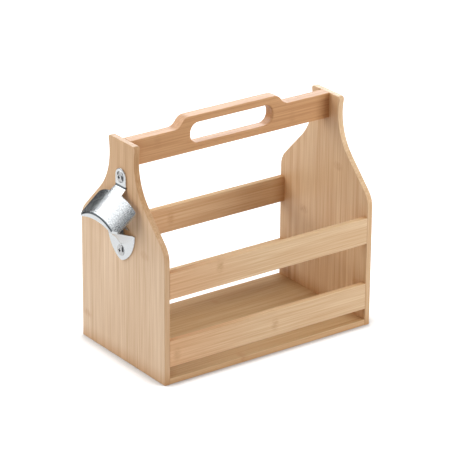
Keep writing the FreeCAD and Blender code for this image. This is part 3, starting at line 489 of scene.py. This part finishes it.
class CADDY_OT_base(bpy.types.Operator):
    """Finish the base board in lengthwise bamboo"""
    bl_idname = "caddy.base"
    bl_label = "Base"

    def execute(self, context):
        settings = context.scene.caddy_bamboo
        finish_node(BASE, bamboo(BASE, settings.slat_pale, settings.slat_dark))
        return {"FINISHED"}


class CADDY_OT_slats(bpy.types.Operator):
    """Finish the four slats in lengthwise bamboo"""
    bl_idname = "caddy.slats"
    bl_label = "Slats"

    def execute(self, context):
        settings = context.scene.caddy_bamboo
        for name in SLATS:
            finish_node(name, bamboo(name, settings.slat_pale, settings.slat_dark))
        return {"FINISHED"}


class CADDY_OT_handle(bpy.types.Operator):
    """Finish the carry handle in lengthwise bamboo"""
    bl_idname = "caddy.handle"
    bl_label = "Handle"

    def execute(self, context):
        settings = context.scene.caddy_bamboo
        finish_node(HANDLE, bamboo(HANDLE, settings.handle_pale_and_shade, settings.handle_dark_and_shade))
        return {"FINISHED"}


class CADDY_OT_opener(bpy.types.Operator):
    """Finish the bottle opener in bright plated metal"""
    bl_idname = "caddy.opener"
    bl_label = "Opener"

    def execute(self, context):
        finish_node(OPENER, plated_opener())
        return {"FINISHED"}


class CADDY_OT_screws(bpy.types.Operator):
    """Finish the opener's two screws in bright plated metal"""
    bl_idname = "caddy.screws"
    bl_label = "Screws"

    def execute(self, context):
        material = plated_screw()
        for name in SCREWS:
            finish_node(name, material)
        return {"FINISHED"}


class CADDY_OT_dowels(bpy.types.Operator):
    """Finish the hidden dowels in turned beech"""
    bl_idname = "caddy.dowels"
    bl_label = "Dowels"

    def execute(self, context):
        material = turned_beech()
        for name in frame["nodes"]:
            if name.endswith("_dowels"):
                finish_node(name, material)
        return {"FINISHED"}


# Soft boxes: where each stands, its side, its power in watts and whether the metal mirrors it; all
# face the caddy's middle
SOFT_BOXES = {
    "rear": ((-0.5, 1.15, 1.05), 1.15, 11.0, True),
    "front": ((0.7, -0.85, 0.5), 0.6, 7.3, False),
    "left": ((-0.75, 0.1, 0.45), 0.5, 2.35, False),
    "top": ((0.1, 0.1, 1.7), 0.9, 2.3, True),
}

# Cards that only mirrored rays see, as in a studio: where each stands, its width and height, and its
# glow; the dark ones give the metal its shades, the bright ones its lights and the lacquer its sheen
CARDS = {
    "rear": ((-0.03, 0.237, 0.17), 0.14, 0.19, 0.0),
    "rear_high": ((-0.148, 0.2, 0.2), 0.13, 0.136, 0.0),
    "overhead": ((-0.6, -0.39, 1.0), 0.74, 0.74, 0.26),
    "left": ((-0.33, 0.05, 0.088), 0.065, 0.17, 0.0),
    "front": ((0.08, -0.3, 0.05), 0.5, 0.14, 0.0),
    "overhead_left": ((-0.72, 0.42, 1.2), 0.62, 0.62, 1.7),
    "rear_right": ((0.87, 1.2, 0.87), 1.2, 1.1, 4.6),
}
FELT = "#1B1F23"
CADDY_MIDDLE = Vector((0, 0, 0.11))


def seen_directly(tree, mirrored=1.0):
    """1 for rays from the eye, the mirrored share for those that metal sends on, 0 for the rest."""
    path = add(tree, "ShaderNodeLightPath")
    eye = add(tree, "ShaderNodeMath", [(0, path.outputs["Is Camera Ray"]),
                                       (1, path.outputs["Is Transmission Ray"])], operation="MAXIMUM")
    return add(tree, "ShaderNodeMath", [(0, path.outputs["Is Glossy Ray"]), (1, mirrored),
                                        (2, eye.outputs["Value"])],
               operation="MULTIPLY_ADD").outputs["Value"]


def sheet(name, width, height, material):
    """A flat sheet of the stage."""
    mesh = bpy.data.meshes.new(name)
    shape = bmesh.new()
    bmesh.ops.create_grid(shape, x_segments=1, y_segments=1, size=0.5)
    bmesh.ops.scale(shape, vec=(width, height, 1), verts=shape.verts)
    shape.to_mesh(mesh)
    shape.free()
    mesh.materials.append(material)
    return bpy.data.objects.new(name, mesh)


def floor(settings):
    """A large pale floor that the eye sees as white, with the caddy's shadow on it."""
    side = 6.0
    deepest_shade = 0.53
    material, tree, shader = new_material("matt_white_floor")
    glow = add(tree, "ShaderNodeMath", [(0, seen_directly(tree, settings.floor_mirrored)),
                                        (1, settings.floor_glow)], operation="MULTIPLY").outputs["Value"]
    clear = open_to_sky(tree, settings.contact, deepest_shade, 1.0)
    shaded = add(tree, "ShaderNodeMath", [(0, glow), (1, clear)], operation="MULTIPLY").outputs["Value"]
    wire(tree, shader, [("Base Color", opaque(settings.floor)), ("Roughness", 0.9),
                        ("Emission Color", WHITE), ("Emission Strength", shaded)])
    ground = sheet("studio_floor", side, side, material)
    bpy.context.scene.collection.objects.link(ground)


def world(settings):
    """White to the eye, and a softer even light on the caddy."""
    surround = bpy.data.worlds.new("studio")
    surround.use_nodes = True
    tree = surround.node_tree
    tree.nodes.clear()
    strength = add(tree, "ShaderNodeMapRange", [("Value", seen_directly(tree)),
                                                ("To Min", settings.fill), ("To Max", 1.0)])
    sky = add(tree, "ShaderNodeBackground", [("Color", WHITE), ("Strength", strength.outputs["Result"])])
    add(tree, "ShaderNodeOutputWorld", [("Surface", sky.outputs["Background"])])
    bpy.context.scene.world = surround


def face_caddy(holder, place):
    """Puts a lamp or a card at a place, turned to the caddy's middle and out of the camera's sight."""
    holder.location = place
    holder.rotation_euler = (CADDY_MIDDLE - Vector(place)).to_track_quat("-Z", "Y").to_euler()
    holder.visible_camera = False
    bpy.context.scene.collection.objects.link(holder)


def soft_boxes():
    """Large square lamps that light the caddy evenly."""
    for name, (place, side, power, mirrored) in SOFT_BOXES.items():
        lamp = bpy.data.lights.new(f"{name}_soft_box", "AREA")
        lamp.size = side
        lamp.energy = power
        box = bpy.data.objects.new(lamp.name, lamp)
        box.visible_glossy = mirrored
        face_caddy(box, place)


def cards():
    """Flat cards around the caddy that neither light it nor shade it."""
    for name, (place, width, height, glow) in CARDS.items():
        material, tree, shader = new_material("white_card" if glow else "black_felt")
        wire(tree, shader, [("Base Color", opaque(linear(FELT))), ("Roughness", 1.0),
                            ("Emission Color", WHITE), ("Emission Strength", glow)])
        # Its glow shows in mirrors alone, so it isn't sampled as a lamp
        material.cycles.emission_sampling = "NONE"
        card = sheet(f"{name}_card", width, height, material)
        face_caddy(card, place)
        card.visible_diffuse = False
        card.visible_shadow = False
        card.visible_transmission = False


def camera(settings):
    """The camera, with the photo's own view of the caddy."""
    lens = bpy.data.cameras.new("camera")
    lens.sensor_width = 36
    lens.lens = settings.lens
    holder = bpy.data.objects.new("camera", lens)
    holder.location = settings.eye
    holder.rotation_euler = Euler(settings.turn)
    bpy.context.scene.collection.objects.link(holder)
    bpy.context.scene.camera = holder


class CADDY_OT_stage(bpy.types.Operator):
    """Set the floor, the soft light and the camera"""
    bl_idname = "caddy.stage"
    bl_label = "Stage"

    def execute(self, context):
        settings = context.scene.caddy_stage
        floor(settings)
        world(settings)
        soft_boxes()
        cards()
        camera(settings)
        context.scene.view_settings.view_transform = "Standard"
        return {"FINISHED"}


class CADDY_PT_panel(bpy.types.Panel):
    """The caddy's pieces, colours and sizes"""
    bl_idname = "CADDY_PT_panel"
    bl_label = "Bottle caddy"
    bl_space_type = "VIEW_3D"
    bl_region_type = "UI"
    bl_category = "Caddy"

    def draw(self, context):
        layout = self.layout
        for operator in OPERATORS:
            layout.operator(operator.bl_idname)
        for group, settings in SETTINGS.items():
            box = layout.box()
            for name in settings.__annotations__:
                box.prop(getattr(context.scene, group), name)


OPERATORS = (CADDY_OT_end_panels, CADDY_OT_base, CADDY_OT_slats, CADDY_OT_handle, CADDY_OT_opener,
             CADDY_OT_screws, CADDY_OT_dowels, CADDY_OT_stage)
SETTINGS = {"caddy_bamboo": BambooSettings, "caddy_metal": MetalSettings,
            "caddy_dowels": DowelSettings, "caddy_stage": StageSettings}
CLASSES = (*SETTINGS.values(), *OPERATORS, CADDY_PT_panel)


def register():
    """Adds the classes, and each group of settings to the scene."""
    for item in CLASSES:
        bpy.utils.register_class(item)
    for group, settings in SETTINGS.items():
        setattr(bpy.types.Scene, group, PointerProperty(type=settings))


def unregister():
    """Takes the settings and the classes away again."""
    for group in SETTINGS:
        delattr(bpy.types.Scene, group)
    for item in reversed(CLASSES):
        bpy.utils.unregister_class(item)


def main():
    """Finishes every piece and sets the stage."""
    register()
    bpy.ops.caddy.end_panels()
    bpy.ops.caddy.base()
    bpy.ops.caddy.slats()
    bpy.ops.caddy.handle()
    bpy.ops.caddy.opener()
    bpy.ops.caddy.screws()
    bpy.ops.caddy.dowels()
    bpy.ops.caddy.stage()


if __name__ == "__main__":
    main()
